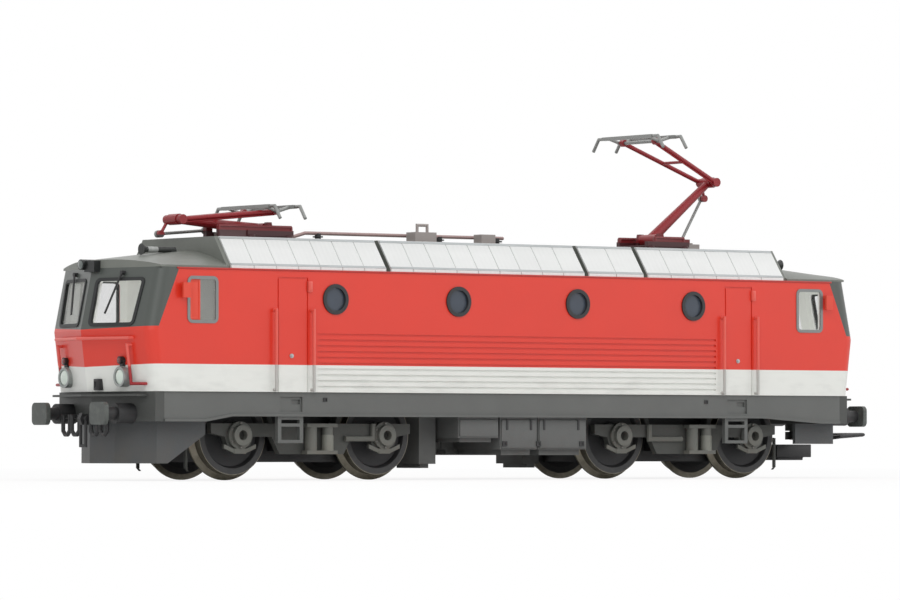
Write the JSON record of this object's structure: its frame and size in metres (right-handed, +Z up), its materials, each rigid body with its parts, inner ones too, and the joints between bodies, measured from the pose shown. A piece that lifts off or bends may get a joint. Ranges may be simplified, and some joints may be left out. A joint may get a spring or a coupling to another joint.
{
  "type": "h0 scale model electric locomotive",
  "caption": "Scale model electric locomotive: boxy body with slanted roof grilles, vee-shaped cab fronts, swivelling bogies, turning wheelsets and single-arm pantographs.",
  "frame": {"origin": "on the track centre line, midway between the bogie pivots, level with the lowest point of the wheel flanges", "axes": "+X to the rear end, with the lowered pantograph and snowplough at the front, -X; +Y to the right-hand side; +Z up"},
  "size_m": [0.1893, 0.0366, 0.0687],
  "materials": {
    "shell_paint": "semi-gloss red and white paint",
    "underframe_grey": "satin grey",
    "roof_grey": "satin grey",
    "grille_silver": "silver paint",
    "diecast": "blackened die-cast metal",
    "window": "clear glazing",
    "rim_dark": "dark rubber grey",
    "lamp_silver": "bright lamp reflector",
    "rail_red": "semi-gloss red",
    "black_plastic": "black",
    "bogie_grey": "dark grey",
    "wheel_steel": "turned steel tread, blackened disc",
    "pantograph_red": "dark red paint",
    "copper_grey": "dull conductor",
    "cab_inside": "light grey"
  },
  "bodies": {
    "body": {"brake_hoses": "black_plastic", "buffer_beam_front": "underframe_grey", "buffer_beam_rear": "underframe_grey", "buffers": "black_plastic", "cab_glass": "window", "cab_interior_front": "cab_inside", "cab_interior_rear": "cab_inside", "cab_roof_front": "roof_grey", "cab_roof_rear": "roof_grey", "chassis": "diecast", "door_handrails": "rail_red", "door_steps": "underframe_grey", "draw_gear": "black_plastic", "end_handrails": "rail_red", "equipment_boxes": "bogie_grey", "horns": "black_plastic", "lamps": "lamp_silver", "mass_block": "diecast", "mirrors": "rail_red", "nose_front_left": "shell_paint", "nose_front_right": "shell_paint", "nose_rear_left": "shell_paint", "nose_rear_right": "shell_paint", "pantograph_base_front": "pantograph_red", "pantograph_base_rear": "pantograph_red", "pantograph_drives": "roof_grey", "porthole_glass": "window", "porthole_rims": "rim_dark", "rail_guards": "underframe_grey", "roof_busbar": "copper_grey", "roof_grilles": "grille_silver", "roof_hatch_1": "roof_grey", "roof_hatch_2": "roof_grey", "roof_hatch_3": "roof_grey", "roof_hatch_4": "roof_grey", "roof_insulators": "black_plastic", "roof_switchgear": "roof_grey", "side_wall_left": "shell_paint", "side_wall_right": "shell_paint", "sill_left": "underframe_grey", "sill_right": "underframe_grey", "snowplough": "underframe_grey", "wipers": "black_plastic"},
    "bogie_front": {"bogie_frame_front": "bogie_grey", "bogie_sides_front": "bogie_grey"},
    "bogie_rear": {"bogie_frame_rear": "bogie_grey", "bogie_sides_rear": "bogie_grey"},
    "coupler": {"coupler": "black_plastic"},
    "wheelset_1": {"wheelset_1": "wheel_steel"},
    "wheelset_2": {"wheelset_2": "wheel_steel"},
    "wheelset_3": {"wheelset_3": "wheel_steel"},
    "wheelset_4": {"wheelset_4": "wheel_steel"},
    "lower_arm_front": {"lower_arm_front": "pantograph_red"},
    "upper_arm_front": {"upper_arm_front": "pantograph_red"},
    "pan_head_front": {"pan_head_front": "pantograph_red"},
    "coupling_rod_front": {"coupling_rod_front": "pantograph_red"},
    "lower_arm_rear": {"lower_arm_rear": "pantograph_red"},
    "upper_arm_rear": {"upper_arm_rear": "pantograph_red"},
    "pan_head_rear": {"pan_head_rear": "pantograph_red"},
    "coupling_rod_rear": {"coupling_rod_rear": "pantograph_red"}
  },
  "joints": [
    {"name": "bogie_swing_front", "type": "hinge", "parent": "body", "child": "bogie_front", "pos_m": [-0.0454, 0, 0.0186], "axis": [0, 0, 1], "range_deg": [-8, 8]},
    {"name": "bogie_swing_rear", "type": "hinge", "parent": "body", "child": "bogie_rear", "pos_m": [0.0454, 0, 0.0186], "axis": [0, 0, 1], "range_deg": [-8, 8]},
    {"name": "wheel_turn_1", "type": "hinge", "parent": "bogie_front", "child": "wheelset_1", "pos_m": [-0.06207, 0, 0.00847], "axis": [0, 1, 0], "continuous": true},
    {"name": "wheel_turn_2", "type": "hinge", "parent": "bogie_front", "child": "wheelset_2", "pos_m": [-0.02874, 0, 0.00847], "axis": [0, 1, 0], "continuous": true},
    {"name": "wheel_turn_3", "type": "hinge", "parent": "bogie_rear", "child": "wheelset_3", "pos_m": [0.02874, 0, 0.00847], "axis": [0, 1, 0], "continuous": true},
    {"name": "wheel_turn_4", "type": "hinge", "parent": "bogie_rear", "child": "wheelset_4", "pos_m": [0.06207, 0, 0.00847], "axis": [0, 1, 0], "continuous": true},
    {"name": "raise_front", "type": "hinge", "parent": "body", "child": "lower_arm_front", "pos_m": [-0.0493, 0, 0.0479], "axis": [0, 1, 0], "range_deg": [0, 34.3]},
    {"name": "knee_front", "type": "hinge", "parent": "lower_arm_front", "child": "upper_arm_front", "pos_m": [-0.06845, 0, 0.04931], "axis": [0, -1, 0], "range_deg": [0, 52.28]},
    {"name": "level_front", "type": "hinge", "parent": "upper_arm_front", "child": "pan_head_front", "pos_m": [-0.04924, 0, 0.05113], "axis": [0, 1, 0], "range_deg": [0, 17.98]},
    {"name": "rod_turn_front", "type": "hinge", "parent": "body", "child": "coupling_rod_front", "pos_m": [-0.0595, 0, 0.0475], "axis": [0, 1, 0], "range_deg": [0, 63.51]},
    {"name": "raise_rear", "type": "hinge", "parent": "body", "child": "lower_arm_rear", "pos_m": [0.046, 0, 0.0479], "axis": [0, -1, 0], "range_deg": [-34.3, 0]},
    {"name": "knee_rear", "type": "hinge", "parent": "lower_arm_rear", "child": "upper_arm_rear", "pos_m": [0.06103, 0, 0.05985], "axis": [0, 1, 0], "range_deg": [-52.28, 0]},
    {"name": "level_rear", "type": "hinge", "parent": "upper_arm_rear", "child": "pan_head_rear", "pos_m": [0.04331, 0, 0.06752], "axis": [0, -1, 0], "range_deg": [-17.98, 0]},
    {"name": "rod_turn_rear", "type": "hinge", "parent": "body", "child": "coupling_rod_rear", "pos_m": [0.0562, 0, 0.0475], "axis": [0, -1, 0], "range_deg": [-63.51, 0]},
    {"name": "coupler_swing", "type": "hinge", "parent": "body", "child": "coupler", "pos_m": [0.0836, 0, 0.0086], "axis": [0, 0, 1], "range_deg": [-12, 12]}
  ],
  "couplings": [
    {"joint": "knee_front", "follows": "raise_front", "ratio": 1.524},
    {"joint": "level_front", "follows": "raise_front", "ratio": 0.524},
    {"joint": "rod_turn_front", "follows": "raise_front", "ratio": 1.8512},
    {"joint": "knee_rear", "follows": "raise_rear", "ratio": 1.524},
    {"joint": "level_rear", "follows": "raise_rear", "ratio": 0.524},
    {"joint": "rod_turn_rear", "follows": "raise_rear", "ratio": 1.8512}
  ]
}
